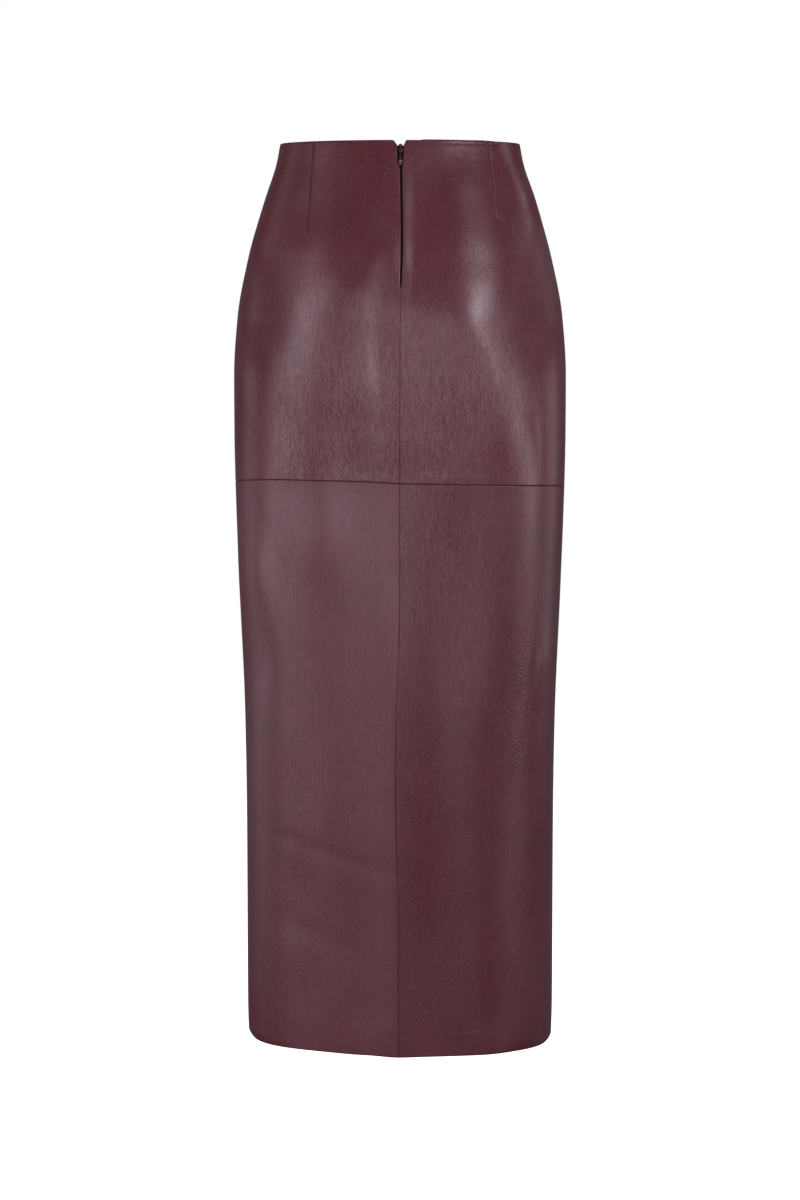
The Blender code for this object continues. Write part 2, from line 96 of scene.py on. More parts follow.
# Darts: the side, how far across at the waist and at the point, and how far down the point is.
BACK_DARTS = metres((
    (-1, 88.5, 94.5, 92),
    (1, 90.5, 97.8, 81),
), plain=(0,))
FRONT_DARTS = metres((
    (-1, 80, 87, 78),
    (1, 80, 87, 78),
), plain=(0,))
DART_DEPTH = 0.0007
DART_HALF_WIDTH = 0.0009
DART_STEPS = (-0.0045, -0.0028, -0.0016, -0.0008, 0.0, 0.0008, 0.0016, 0.0028, 0.0045)

# Full places and hollows. Each is a place seen straight on, how far it leans across for each metre up, how
# far out it fades across and up, and how far it rises. A hollow's rise is negative.
BACK_FULLNESS = metres((
    (-22, -115, 0, 22, 34, 4.4), (-50, -148, 0, 36, 30, 3.2), (26, -70, 0, 26, 62, -4),
    (60, -15, 0, 18, 25, -1.4), (127, -54, -0.36, 18, 52, 5.6), (-148, -100, 0.28, 14, 40, 2.8),
    (-125, -30, 0.3, 16, 34, 2), (-104, -85, 0.25, 19, 48, -2.4), (-138, -185, 0, 32, 42, -4.6),
    (146, -170, 0, 30, 48, -5.8), (68, -184, 0, 22, 27, 2.4), (90, -215, -0.4, 26, 40, 1.6),
    (104, -290, 0, 22, 42, 2.8), (20, -245, 0, 30, 45, -2), (52, -350, 0, 24, 36, 1.8),
    (-40, -210, 0, 36, 30, 1.4), (-54, -320, 0, 20, 60, -1.8), (-80, -410, 0, 24, 42, 2.6),
    (-115, -360, 0, 20, 28, -1.4), (-150, -445, 0, 18, 40, 4), (-148, -545, 0, 18, 36, -2.4),
    (-126, -600, 0, 18, 120, 0.8), (-3, -520, 0, 22, 105, 4.2), (66, -480, 0, 36, 85, -2.6),
    (148, -545, 0, 20, 45, 1.2), (28, -820, 0, 34, 130, -5.6), (90, -850, 0, 18, 90, 0.6),
    (94, -945, 0, 22, 35, 3.2), (128, -810, 0, 24, 80, -0.8), (-65, -800, 0, 34, 70, -1.8),
    (-45, -940, 0, 24, 36, 1.8),
), plain=(2,))
# Sharper folds, each from one point to another, with how wide it is and how far it rises at its middle.
BACK_CREASES = metres((
    (99, -78, 104, -85, 3, -0.6), (105, -83, 117, -78, 5, 0.5), (118, -92, 136, -66, 6, -0.6),
    (138, -275, 143, -330, 5, -0.5), (-150, -75, -134, -105, 7, -0.6), (-146, -120, -156, -150, 8, 0.5),
    (142, -515, 139, -560, 4, -0.7), (150, -520, 147, -550, 6, 0.5), (53, -921.5, 84, -921.2, 1.2, 0.3),
    (-33, -150, -16, -350, 10.5, 1), (4.8, -35, 5, -100, 5.5, 0.6), (5, -95, 6, -150, 5.2, 0.6),
    (6.8, -149.5, 6.8, -153.5, 2.6, 0.4), (-5, -60, -5.5, -150, 4, 0.4), (20, -2.8, 108, -2.8, 1, -0.35),
    (-150, -708, -12, -752, 9, -0.5), (-145, -795, -40, -836, 14, -0.5),
    (-115, -440, -55, -500, 18, -0.4),
))
FRONT_FULLNESS = metres((
    (0, -130, 0, 60, 70, 3), (-85, -255, -0.45, 24, 70, -2), (80, -250, 0.45, 24, 70, -2),
    (-76, -350, -0.1, 26, 90, 2.2), (76, -340, 0.1, 26, 90, 2.2), (66, -650, 0.8, 50, 40, -1.8),
    (-64, -770, -0.8, 50, 40, -1.8), (58, -810, 0, 28, 110, 2.4), (-48, -590, 0, 28, 110, 2.2),
    (4, -900, 0, 26, 90, -2),
), plain=(2,))
FRONT_CREASES = metres((
    (-142, -300, -90, -335, 7, -0.6), (140, -310, 86, -332, 8, -0.6), (128, -110, 140, -145, 7, -0.5),
    (-130, -95, -142, -130, 7, -0.5), (-135, -520, -118, -575, 6, -0.6), (137, -640, 128, -700, 6, -0.5),
))
SIDE_FADE = 0.35
HEM_CURL = 0.0052
HEM_CURL_HEIGHT = 0.0088


def curve_through(rows, column):
    """A smooth function through one column of a table, by its first one, that never swings past its rows."""
    at, to = np.array(sorted((row[0], row[column]) for row in rows)).T
    slopes = np.diff(to) / np.diff(at)
    before, after = slopes[:-1], slopes[1:]
    bending_on = before * after > 0
    inner = np.where(bending_on, 2 * before * after / np.where(bending_on, before + after, 1.0), 0.0)
    tangents = np.concatenate((slopes[:1], inner, slopes[-1:]))

    def value(x):
        x = np.clip(x, at[0], at[-1])
        i = np.clip(np.searchsorted(at, x) - 1, 0, len(slopes) - 1)
        span = at[i + 1] - at[i]
        s = (x - at[i]) / span
        straight = to[i] + (to[i + 1] - to[i]) * s * s * (3 - 2 * s)
        return straight + s * (1 - s) ** 2 * span * tangents[i] + s * s * (s - 1) * span * tangents[i + 1]

    return value


def curves(rows):
    """One smooth function for each column of a table after its first."""
    return [curve_through(rows, column) for column in range(1, len(rows[0]))]


def round_the_skirt(curve):
    """A function of any turn, made from one of degrees between minus half a turn and half a turn."""
    return lambda turn: curve(np.degrees((turn + pi) % (2 * pi) - pi))


half_width, back_depth, front_depth, back_squareness, front_squareness = curves(SECTIONS)
centre_across, centre_opening = curves(CENTRE_BACK)
hip_seam, hem = (round_the_skirt(curve) for curve in curves(EDGES))


def smooth_step(low, high, at):
    s = np.clip((at - low) / (high - low), 0.0, 1.0)
    return s * s * (3 - 2 * s)


def section(turn, height):
    """Points of the plain sections, across and along Y, and the way out from them, as the same two."""
    at_back = np.cos(turn) > 0
    wide = half_width(height)
    deep = np.where(at_back, back_depth(height), front_depth(height))
    square = np.where(at_back, back_squareness(height), front_squareness(height))
    s, c = np.sin(turn), -np.cos(turn)
    reach = (np.abs(s) ** square + np.abs(c) ** square) ** (-1 / square)
    x, y = wide * reach * s, deep * reach * c
    out_x = np.sign(x) * np.abs(x / wide) ** (square - 1) / wide
    out_y = np.sign(y) * np.abs(y / deep) ** (square - 1) / deep
    size = np.hypot(out_x, out_y)
    return x, y, out_x / size, out_y / size


HALVINGS = 40


def turn_at(across, height):
    """The turns on the back half where the plain sections are that far across."""
    low = np.full(np.shape(height), -pi / 2)
    high = -low
    for _ in range(HALVINGS):
        middle = (low + high) / 2
        short = section(middle, height)[0] < across
        low, high = np.where(short, middle, low), np.where(short, high, middle)
    return (low + high) / 2


def dart_line(dart, height):
    """How far across a dart's line is at a height. It runs on straight below the dart's point."""
    side, at_waist, at_point, length = dart
    return side * (at_waist + (at_point - at_waist) * -height / length)


def distance_to_dart(x, height, dart):
    """How far points, seen straight on, lie from a dart."""
    low = -dart[3]
    top, point = dart_line(dart, 0.0), dart_line(dart, low)
    share = np.clip(((x - top) * (point - top) + height * low) / ((point - top) ** 2 + low ** 2), 0.0, 1.0)
    return np.hypot(x - top - share * (point - top), height - share * low)


def swell(x, height, place):
    """How far a full place or a hollow stands out at points seen straight on."""
    across, middle, lean, half_width, half_height, rise = place
    up = height - middle
    return rise * np.exp(-(((x - across - lean * up) / half_width) ** 2) - (up / half_height) ** 2)


def crease(x, height, fold):
    """How far a fold stands out at points seen straight on. It fades along it and across."""
    x0, z0, x1, z1, width, rise = fold
    length = hypot(x1 - x0, z1 - z0)
    along_x, along_z = (x1 - x0) / length, (z1 - z0) / length
    from_x, from_z = x - (x0 + x1) / 2, height - (z0 + z1) / 2
    along = (from_x * along_x + from_z * along_z) / (length / 2)
    beside = (from_z * along_x - from_x * along_z) / width
    return rise * np.exp(-(along ** 2) - beside ** 2)


def relief(turn, x, height):
    """How far the leather stands out from the plain section.

    The places fade to nothing at the side seams, where the hem's corners curl in.
    """
    rises = []
    for places, folds, darts in (
        (BACK_FULLNESS, BACK_CREASES, BACK_DARTS),
        (FRONT_FULLNESS, FRONT_CREASES, FRONT_DARTS),
    ):
        rise = sum(swell(x, height, place) for place in places)
        rise = rise + sum(crease(x, height, fold) for fold in folds)
        for dart in darts:
            rise = rise - DART_DEPTH * np.exp(-((distance_to_dart(x, height, dart) / DART_HALF_WIDTH) ** 2))
        rises.append(rise)
    at_back = np.cos(turn) > 0
    to_hem = np.clip(1 - (height - hem(turn)) / HEM_CURL_HEIGHT, 0.0, 1.2)
    curl = HEM_CURL * to_hem ** 2 * np.abs(np.sin(turn)) ** 8
    return np.where(at_back, *rises) * smooth_step(0.0, SIDE_FADE, np.abs(np.cos(turn))) - curl


def skirt_points(turn, height, inset=0.0):
    """Points of the skirt's outer surface, or so far inside it."""
    x, y, out_x, out_y = section(turn, height)
    out = relief(turn, x, height) - inset
    return np.stack((x + out_x * out, y + out_y * out, height + 0 * out), axis=-1)


def spread(stops, step):
    """Even places between stops, no further apart than the step. A stop is one place, or one for each row."""
    places = [stops[0]]
    for start, end in zip(stops, stops[1:]):
        count = max(1, ceil(np.max(np.abs(end - start)) / step - 1e-6))
        places += [start + (end - start) * (k + 1) / count for k in range(count)]
    return np.stack(np.broadcast_arrays(*places), axis=-1)


COLUMN_STEP = 0.0028
ROW_STEP = 0.003
EDGE_STEPS = (
    0.0, 0.0001, 0.00025, 0.00045, 0.0007, 0.001, 0.0015, 0.0023, 0.0035, 0.005, 0.007, 0.0093, 0.0103,
    0.0125,
)
ROUND_SAMPLES = 257


def panel_grid(start, end, top, bottom, darts=(), edges=EDGE_STEPS):
    """Turns and heights of a panel's grid, and how far each place is from the panel's four edges.

    start and end give the turns of two edges at a height, top and bottom the heights of the others at a turn.
    """
    middle = (start(HIP_SEAM) + end(HIP_SEAM)) / 2
    high, low = float(np.max(top(middle))), float(bottom(middle))
    length = high - low
    fallen = spread([*edges, *(length - e for e in reversed(edges))], ROW_STEP)
    nominal = high - fallen
    round_turns = np.linspace(start(nominal), end(nominal), ROUND_SAMPLES, axis=1)
    x, y, _, _ = section(round_turns, nominal[:, None])
    steps = np.hypot(np.diff(x, prepend=x[:, :1]), np.diff(y, prepend=y[:, :1]))
    walked = np.cumsum(steps, axis=1)
    whole = walked[:, -1]
    stops = [e + 0 * whole for e in edges]
    for dart in darts:
        along = np.array([np.interp(*row) for row in zip(dart(nominal), round_turns, walked)])
        stops += [along + step for step in DART_STEPS]
    stops += [whole - e for e in reversed(edges)]
    across = spread(stops, COLUMN_STEP)
    turn = np.array([np.interp(*row) for row in zip(across, walked, round_turns)])
    tops, bottoms = top(turn[0]), bottom(turn[-1])
    knots = np.array((0.0, edges[-1], length - edges[-1], length))
    height = np.stack([
        np.interp(fallen, knots, (t, t - edges[-1], b + edges[-1], b)) for t, b in zip(tops, bottoms)
    ], axis=1)
    return turn, height, (across, whole[:, None] - across, tops - height, height - bottoms)


def rolled(distance, reach, drop):
    """How far an edge that is rounded over has dropped, that close to it."""
    return drop * (1 - np.sqrt(1 - np.clip(1 - distance / reach, 0.0, 1.0) ** 2))


def add_object(name, data):
    """An object in the scene, of a mesh, curve, light or camera."""
    made = bpy.data.objects.new(name, data)
    bpy.context.scene.collection.objects.link(made)
    return made


def mesh_object(name, points, edges, faces, *materials):
    """A smooth mesh object."""
    mesh = bpy.data.meshes.new(name)
    mesh.from_pydata(points, edges, faces)
    for material in materials:
        mesh.materials.append(material)
    mesh.shade_smooth()
    return add_object(name, mesh)


def shell(name, outer, inner, *materials):
    """A closed shell between two grids of points. Its inner faces get the last material, others the first."""
    rows, columns = outer.shape[:2]
    index = np.arange(rows * columns).reshape(rows, columns)
    corners = index[:-1, :-1], index[1:, :-1], index[1:, 1:], index[:-1, 1:]
    outside = np.stack(corners, axis=-1).reshape(-1, 4)
    rim = np.concatenate((index[:, 0], index[-1, 1:], index[-2::-1, -1], index[0, -2:0:-1]))
    following = np.roll(rim, -1)
    inward = rows * columns
    edge = np.stack((rim, rim + inward, following + inward, following), axis=-1)
    inside = outside[:, ::-1] + inward
    points = np.concatenate((outer.reshape(-1, 3), inner.reshape(-1, 3)))
    faces = np.concatenate((outside, edge, inside))
    made = mesh_object(name, points.tolist(), [], faces.tolist(), *materials)
    slots = np.zeros(len(made.data.polygons), np.int32)
    slots[-len(inside):] = len(materials) - 1
    made.data.polygons.foreach_set("material_index", slots)
    return made


def paint(made, **values):
    """Writes named numbers for each point of a shell's two grids, for its material to read."""
    for name, numbers in values.items():
        attribute = made.data.attributes.new(name, "FLOAT", "POINT")
        attribute.data.foreach_set("value", np.tile(numbers.ravel(), 2).astype(np.float32))


def dress(made, body, node=None):
    """Attaches a piece to its body, and hides the CAD node that it stands for, if any."""
    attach(made, body)
    if node:
        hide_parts(node)
    return made


class Wire:
    """One output in a node tree. Arithmetic on wires adds the Math nodes that work it out."""

    def __init__(self, tree, socket):
        self.tree = tree
        self.socket = socket

    def __add__(self, other):
        return self.tree.maths("ADD", self, other)

    def __sub__(self, other):
        return self.tree.maths("SUBTRACT", self, other)

    def __rsub__(self, other):
        return self.tree.maths("SUBTRACT", other, self)

    def __mul__(self, other):
        return self.tree.maths("MULTIPLY", self, other)

    __radd__ = __add__
    __rmul__ = __mul__


class Tree:
    """A node tree being built. add makes any node: first its settings, then its sockets."""

    def __init__(self, tree):
        self.tree = tree

    def add(self, kind, sockets=None, output=0, **settings):
        node = self.tree.nodes.new(kind)
        for name, value in settings.items():
            setattr(node, name, value)
        for key, value in (sockets or {}).items():
            self.plug(node.inputs[key], value)
        return Wire(self, node.outputs[output])

    def plug(self, socket, value):
        if isinstance(value, Wire):
            self.tree.links.new(value.socket, socket)
        else:
            socket.default_value = (*value, 1.0) if socket.type == "RGBA" else value

    def maths(self, operation, *values):
        return self.add("ShaderNodeMath", dict(enumerate(values)), operation=operation)

    def spanned(self, value, low, high, to_low=0.0, to_high=1.0):
        """A value carried over from one span to another, and held at its ends."""
        sockets = {"Value": value, "From Min": low, "From Max": high, "To Min": to_low, "To Max": to_high}
        return self.add("ShaderNodeMapRange", sockets)

    def mix(self, share, first, second):
        """A colour between two others."""
        sockets = {0: share, 6: first, 7: second}
        return self.add("ShaderNodeMix", sockets, output=2, data_type="RGBA")


class Finish(Tree):
    """A material's node tree, with its Principled shader."""

    def __init__(self, name, **constants):
        self.material = bpy.data.materials.new(name)
        self.material.use_nodes = True
        super().__init__(self.material.node_tree)
        self.set(**constants)

    def set(self, **channels):
        """Sets inputs of the shader, named with _ for each space, and returns the material."""
        for name, value in channels.items():
            self.plug(self.tree.nodes["Principled BSDF"].inputs[name.replace("_", " ")], value)
        return self.material

    def place(self, level=1.0, up=1.0):
        """Object coordinates in metres, squeezed by so much."""
        here = self.add("ShaderNodeTexCoord", output="Object")
        return self.add("ShaderNodeMapping", {"Vector": here, "Scale": (level, level, up)})

    def noise(self, scale, detail, roughness=0.5, distortion=0.0, **squeeze):
        return self.add("ShaderNodeTexNoise", {
            "Vector": self.place(**squeeze), "Scale": scale, "Detail": detail, "Roughness": roughness,
            "Distortion": distortion})

    def waves(self, scale, way, distortion=0.0):
        sockets = {"Vector": self.place(), "Scale": scale, "Distortion": distortion}
        return self.add("ShaderNodeTexWave", sockets, bands_direction=way)

    def painted(self, name):
        """A number that was painted on the mesh."""
        return self.add("ShaderNodeAttribute", output="Fac", attribute_name=name)

    def bump(self, height, depth, below=None):
        sockets = {"Height": height, "Distance": depth, "Strength": 1.0}
        if below is not None:
            sockets["Normal"] = below
        return self.add("ShaderNodeBump", sockets)


NAPPA_DEEP = (0.066, 0.0095, 0.014)
NAPPA_MAIN = (0.092, 0.016, 0.0225)
# The colour of real wear in coarse grain and flecks, also used for a painted sheen that greys a whole panel.
NAPPA_WORN_AND_SHEEN = (0.104, 0.033, 0.041)
# The near-black colour that painted shade darkens the clefts of seams and darts to.
NAPPA_PAINTED_CLEFT_SHADE = (0.032, 0.003, 0.008)
PEBBLES_PER_METRE = 640.0
PEBBLE_DEPTH = 0.0001
PEBBLE_WANDER = 0.0009
PORES_PER_METRE = 1700.0
PORE_DEPTH = 0.00002
STRETCH_LINES_PER_METRE = 430.0
STRETCH_LINE_DEPTH = 0.0005
FLECKS_PER_METRE = 780.0
STREAKS_PER_METRE = 600.0
STREAKS_LEVEL_OUT = (-0.08, -0.025)


def nappa(name, roughness, flecked, shade=1.0, painted_sheen=0.0):
    """Semi-gloss dyed lambskin: pebbles, pores, a glaze that lies in flecks, mottling, and stretch lines.

    What is painted on the mesh says where it is coarse with stretch lines, how thick its glaze is, how much
    painted shade darkens it towards a seam, and where it is darkened by painted shade, rougher and bare of
    glaze in the clefts of seams and darts. Its last two arguments darken all its colours as painted shade,
    and grey its base colour as a painted sheen.
    """
    skin = Finish(name, Specular_IOR_Level=0.34, Coat_Roughness=roughness + 0.04)
    coarse, glaze, seam, cleft = (skin.painted(name) for name in ("coarse", "glaze", "seam", "cleft"))
    mottle = skin.noise(16.0, 3.0)
    cloud = skin.noise(90.0, 3.0, up=0.7)
    wander = {0: skin.noise(260.0, 1.0), "Scale": PEBBLE_WANDER}
    moved = skin.add("ShaderNodeVectorMath", wander, operation="SCALE")
    wandering = {0: skin.place(up=0.72), 1: moved}
    pebble = skin.add("ShaderNodeTexVoronoi", {
        "Vector": skin.add("ShaderNodeVectorMath", wandering, operation="ADD"),
        "Scale": PEBBLES_PER_METRE, "Smoothness": 0.35}, feature="SMOOTH_F1")
    pores = skin.noise(PORES_PER_METRE, 1.0)
    line = skin.noise(STRETCH_LINES_PER_METRE, 3.0, 0.55, 0.7, up=0.24)
    lines = skin.maths("ABSOLUTE", line - 0.5) * 2.0
    height = skin.add("ShaderNodeSeparateXYZ", {"Vector": skin.place()}, output=2)
    by_waist = skin.spanned(height, *STREAKS_LEVEL_OUT)
    upright = skin.noise(STREAKS_PER_METRE, 2.0, 0.6, 0.8, up=0.12)
    level = skin.noise(STREAKS_PER_METRE, 2.0, 0.6, 0.8, level=0.16)
    streaks = upright + (level - upright) * by_waist
    patchy = (skin.noise(FLECKS_PER_METRE, 2.0, 0.7, 0.5, up=0.5) + streaks) * 0.5
    fleck = skin.spanned(patchy, 0.4, 0.6, -0.7, 0.7) * flecked * (0.35 + coarse + by_waist * 0.35)
    tone = skin.spanned(mottle * 0.6 + cloud * 0.4, 0.36, 0.64)
    # The shade argument darkens every colour as painted shade, and the base is greyed as a painted sheen as
    # well as by coarse grain and flecks.
    deep, main, worn_and_sheen = (tuple(c * shade for c in colour) for colour in (NAPPA_DEEP, NAPPA_MAIN, NAPPA_WORN_AND_SHEEN))
    base = skin.mix(0.1 + tone * 0.7 + fleck * 0.5, deep, main)
    base = skin.mix(painted_sheen + coarse * 0.15 + fleck * 0.5, base, worn_and_sheen)
    # Painted shade: the colour darkens towards the seams.
    base = skin.mix(seam * 0.45, base, deep)
    stretched = skin.bump(lines * coarse, STRETCH_LINE_DEPTH)
    grained = skin.bump(1.0 - pebble, PEBBLE_DEPTH, stretched)
    # Painted shade darkens the clefts of seams and darts to a near-black colour; there they are also rougher
    # and bare of coat.
    return skin.set(
        Base_Color=skin.mix(cleft * 0.9, base, NAPPA_PAINTED_CLEFT_SHADE),
        Roughness=roughness - 0.03 + 0.06 * mottle + 0.1 * coarse + 0.45 * cleft,
        Coat_Weight=skin.maths("MAXIMUM", fleck * 0.6 + glaze * 0.36, 0.0) * (1.0 - cleft),
        Normal=skin.bump(pores, PORE_DEPTH, grained))


skin_upper = nappa("burgundy_nappa_upper", 0.31, 0.65)
# The flesh side of the skins: dyed through, matt and short-napped.
flesh = Finish("burgundy_suede", Roughness=0.92, Specular_IOR_Level=0.2, Sheen_Weight=0.25)
skin_in = flesh.set(
    Base_Color=flesh.mix(flesh.noise(30.0, 4.0), (0.085, 0.028, 0.034), (0.125, 0.045, 0.052)),
    Normal=flesh.bump(flesh.noise(1500.0, 3.0), 0.00012))

# Where the skin is coarse with stretch lines: across and height of a place, its two radii, and how coarse.
COARSE_PLACES = metres((
    (-45, -270, 50, 110, 0.75), (45, -270, 45, 100, 0.65), (-100, -290, 40, 70, 0.45),
    (60, -420, 60, 60, 0.55), (-70, -430, 90, 110, 0.65), (-80, -620, 110, 200, 0.55),
    (-80, -870, 110, 90, 0.35), (70, -520, 20, 100, 0.35), (104, -255, 28, 75, 0.55),
), plain=(4,))
# Where the glaze is thicker, and by how much. It is worn thinner where the amount is negative.
GLAZE_PLACES = metres((
    (7, -105, 5, 60, 1.9), (6, -40, 6, 40, 1), (-5, -110, 4, 60, 0.6), (-40, -50, 30, 40, 0.5),
    (-25, -137, 14, 22, 1.5), (-102, -150, 16, 20, -0.8), (78, -132, 26, 16, -1.2),
    (133, -272, 10, 34, -1.2), (114, -280, 9, 60, 0.9), (84, -168, 11, 20, 1.6), (26, -20, 18, 20, 1.5),
    (-31, -225, 11, 40, 0.9), (-26, -285, 10, 40, 0.7), (-12, -190, 10, 40, -0.7),
    (-138, -545, 12, 100, 0.9), (-132, -780, 12, 140, 0.6), (150, -540, 11, 100, 1.3),
    (132, -45, 8, 20, 1.3), (146, -105, 10, 30, 2.4), (157, -152, 8, 35, 2.4), (145, -900, 14, 100, 1.6),
    (-158, -930, 10, 60, -0.7), (157, -920, 10, 60, -0.7), (-96, -850, 18, 30, -0.7),
    (-18, -900, 20, 60, 0.5), (58, -390, 20, 120, -0.3), (-60, -390, 30, 50, 0.5),
    (-145, -450, 14, 100, 0.6), (-168, -400, 8, 60, 1), (-158, -290, 10, 50, -0.9),
    (-118, -265, 12, 30, -0.7), (-156, -650, 10, 70, 0.9), (-102, -745, 18, 35, -0.8),
    (-105, -680, 14, 160, -0.4), (26, -640, 22, 240, -1), (100, -820, 20, 160, 0.5),
    (131, -500, 10, 110, -1), (119, -640, 10, 110, -0.9),
), plain=(4,))


def painted_over(places, x, y, height, ground):
    """What is painted of such places, over a ground. The front has the same places, turned round."""
    across = np.where(y < 0, x, -x)
    total = ground + 0 * x
    for place, at, wide, tall, amount in places:
        total = total + amount * np.exp(-(((across - place) / wide) ** 2) - ((height - at) / tall) ** 2)
    return np.maximum(total, 0.0)


# Rolled edges: how far from the edge the roll begins, and how deep it drops.
SEAM_ROLL = (0.001, 0.0008)
FOLD_ROLL = (0.0012, 0.001)
RIM_ROLL = (0.0022, 0.0007)
# How far the painted shade reaches from a seam, and the widths and share of the painted shade in the clefts
# of seams and darts.
SEAM_SHADE_REACH = 0.004
SEAM_CLEFT = 0.0004
SEAM_CLEFT_SHARE = 0.6
DART_CLEFT = 0.0008
COARSE_GROUND = 0.08
START, END, TOP, FOOT = range(4)


def leather_panel(name, node, grid, skin, free, sides=(SEAM_ROLL, SEAM_ROLL)):
    """One cut piece of leather with its edges rolled under.

    Its free edge isn't seamed: TOP at the waist, FOOT at the hem. sides are the rolls of its other two edges.
    """
    turn, height, distances = grid
    rolls = (*sides, RIM_ROLL, SEAM_ROLL) if free == TOP else (*sides, SEAM_ROLL, FOLD_ROLL)
    drop = sum(rolled(d, *roll) for d, roll in zip(distances, rolls))
    to_seam = np.minimum.reduce([d for edge, d in enumerate(distances) if edge != free])
    padded = ALLOWANCE_SHOWS * smooth_step(-ALLOWANCE - 2 * RAMP, -ALLOWANCE + 2 * RAMP, -to_seam)
    outer = skirt_points(turn, height, drop - padded)
    x, y = outer[..., 0], outer[..., 1]
    inner = skirt_points(turn, height, panel_thickness(turn, height, to_seam))
    made = shell(name, outer, inner, skin, skin_in)
    darts = BACK_DARTS if y.mean() < 0 else FRONT_DARTS
    to_dart = np.minimum.reduce([distance_to_dart(x, height, dart) for dart in darts])
    # The last two numbers painted here are painted shade: darker towards the seams, and in the clefts of
    # seams and darts.
    paint(made, coarse=np.minimum(painted_over(COARSE_PLACES, x, y, height, COARSE_GROUND), 1.0),
          glaze=painted_over(GLAZE_PLACES, x, y, height, 1.0),
          seam=np.exp(-to_seam / SEAM_SHADE_REACH),
          cleft=np.maximum(np.exp(-((to_dart / DART_CLEFT) ** 2)),
                           SEAM_CLEFT_SHARE * np.exp(-((to_seam / SEAM_CLEFT) ** 2))))
    return dress(made, "skirt", node)


def panel_thickness(turn, height, to_seam):
    """One layer, and more over the seam allowances, the hem's turning and the turned edges of the zip."""
    x = section(turn, height)[0]
    at_seam = ALLOWANCE_THICKNESS * smooth_step(-ALLOWANCE - RAMP / 2, -ALLOWANCE + RAMP / 2, -to_seam)
    at_seam = at_seam * (height < FACING_BOTTOM - UNDER_FACING)
    hem_top = hem(turn) + HEM_TURNING
    at_hem = smooth_step(-hem_top - RAMP / 2, -hem_top + RAMP / 2, -height)
    by_zip = (np.cos(turn) > 0) & (height > ZIP_END - ZIP_TURNING)
    along_zip = by_zip * smooth_step(-ZIP_TURNING - RAMP, -ZIP_TURNING, -np.abs(x - centre_across(height)))
    return NAPPA + np.maximum(at_seam, (TURNED_NAPPA - NAPPA) * np.maximum(at_hem, along_zip))


def centre_edge(side, height):
    """How far across a back panel's edge is at centre back."""
    return centre_across(height) + side * centre_opening(height) / 2


def back_edges(side, near=None, far=None):
    """The two edges of a piece at the back, as turns at a height, in the order that turns grow.

    near and far say how far across its edges by centre back and away from it are. A panel's need neither.
    """
    def centre(height):
        return turn_at(near(height) if near else centre_edge(side, height), height)

    def away(height):
        return turn_at(far(height), height) if far else side * pi / 2 + 0 * height

    return (away, centre) if side < 0 else (centre, away)


def notched_waist(side):
    """The waist edge of a back panel, with the corner at the zip cut off."""
    def top(turn):
        from_zip = side * (section(turn, 0 * turn)[0] - centre_edge(side, 0.0))
        share = from_zip / (NOTCH_REACH[side] - side * centre_edge(side, 0.0))
        return -NOTCH_DEPTH * (1 - smooth_step(*NOTCH_FADE, share))
    return top


# The leather takes in 10 mm at each seam, 12 mm at the zip and 25 mm at the hem, and a facing 5 mm at its
# seams.
SIDES = ((-1, "left"), (1, "right"))
for (side, word), dart in zip(SIDES, BACK_DARTS):
    dart_turns = [lambda height: turn_at(dart_line(dart, height), height)]
    grid = panel_grid(*back_edges(side), notched_waist(side), hip_seam, dart_turns)
    fold = tuple(np.where(grid[1] > ZIP_END, f, s) for f, s in zip(FOLD_ROLL, SEAM_ROLL))
    side_rolls = (SEAM_ROLL, fold) if side < 0 else (fold, SEAM_ROLL)
    upper = leather_panel(f"upper_back_panel_{word}", f"back_upper_{word}", grid, skin_upper, TOP, side_rolls)


# ----------
# The two lower back panels, from the hip seam to the hem: nappa, seamed to each other, to the upper panels
# and to the front. The hem is turned up 25 mm and glued, with no stitching outside.

# The lower left panel is greyed as a painted sheen, and the lower right panel's colours are darkened as
# painted shade; their roughness and flecks differ as well. The front's lower panel takes the lower right's.
skin_lower = {
    -1: nappa("burgundy_nappa_lower_left", 0.36, 0.2, 1.0, 0.2),
    1: nappa("burgundy_nappa_lower_right", 0.33, 0.4, 0.9),
}
for side, word in SIDES:
    grid = panel_grid(*back_edges(side), hip_seam, hem)
    lower = leather_panel(f"lower_back_panel_{word}", f"back_lower_{word}", grid, skin_lower[side], FOOT)


# ----------
# The front: an upper piece with two darts and a lower piece, both in one piece from side seam to side seam,
# of the same nappa. The hip seam runs on round them from the back.


def always(value):
    """A function that is the same everywhere."""
    return lambda at: value + 0 * at


right_side, left_side = always(pi / 2), always(3 * pi / 2)
dart_turns = [
    lambda height, dart=dart: pi - turn_at(dart_line(dart, height), height)
    for dart in reversed(FRONT_DARTS)
]
grid = panel_grid(right_side, left_side, always(0.0), hip_seam, dart_turns)
front_upper = leather_panel("upper_front_panel", "front_upper", grid, skin_upper, TOP)

grid = panel_grid(right_side, left_side, hip_seam, hem)
front_lower = leather_panel("lower_front_panel", "front_lower", grid, skin_lower[1], FOOT)


# ----------
# The waist facing: three strips of the same nappa inside the top edge, in place of a waistband. They are
# seamed to the panels along the edge and rolled in, and at the right of the zip the facing stands just
# above the edge.

FACING_INSET = NAPPA + 0.00005
FACING_THICKNESS = 0.0009
FACING_START = 0.0134
FACING_ROLL = 0.0004
FACING_SINK = 0.0004
FACING_PEEK = 0.0011
FACING_PEEK_ENDS = (0.016, 0.026, 0.086, 0.11)
FACING_COARSE = 0.25
FACING_SHADE_REACH = 0.003
FACING_EDGE_STEPS = (0.0, 0.0001, 0.00025, 0.0004, 0.0008, 0.0014, 0.002)


